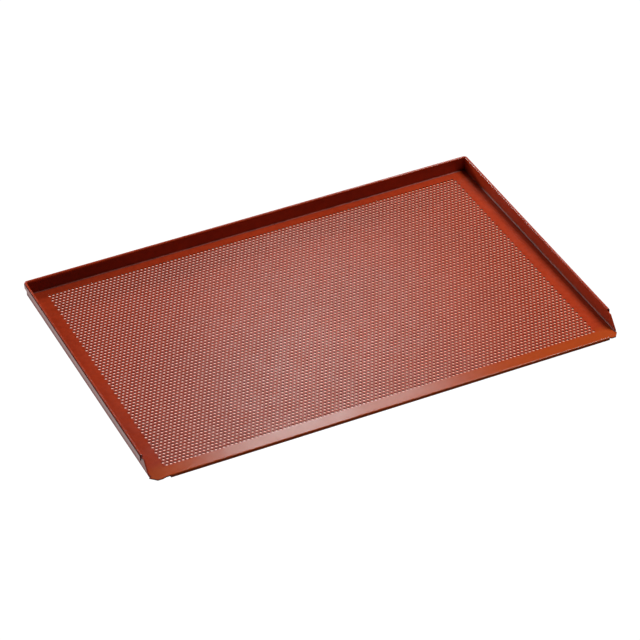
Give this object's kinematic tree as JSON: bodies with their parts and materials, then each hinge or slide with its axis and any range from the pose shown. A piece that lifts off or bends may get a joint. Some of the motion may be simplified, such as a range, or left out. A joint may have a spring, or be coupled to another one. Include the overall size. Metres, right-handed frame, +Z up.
{
  "type": "baguette tray",
  "caption": "flat perforated baking tray folded from silicone-coated sheet, with low hemmed walls at the sides and back and an open front",
  "frame": {"origin": "centre of the tray's footprint, on the plane that the underside of the front hem lies in", "axes": "X along the long side, Y from the open front edge to the rear wall, Z up"},
  "size_m": [0.6, 0.4, 0.0233],
  "materials": {
    "floor_coating": "satin terracotta silicone baked on perforated aluminium",
    "wall_coating": "satin terracotta silicone baked on aluminium",
    "hem_coating": "satin terracotta silicone, slightly worn along the folds",
    "weld_coating": "satin terracotta silicone over a ground weld"
  },
  "bodies": {
    "root": {"tray_floor": "floor_coating", "rear_wall": "wall_coating", "left_wall": "wall_coating", "right_wall": "wall_coating", "rear_rim_hem": "hem_coating", "left_rim_hem": "hem_coating", "right_rim_hem": "hem_coating", "front_hem": "hem_coating", "rear_left_corner_weld": "weld_coating", "rear_right_corner_weld": "weld_coating"}
  },
  "joints": []
}
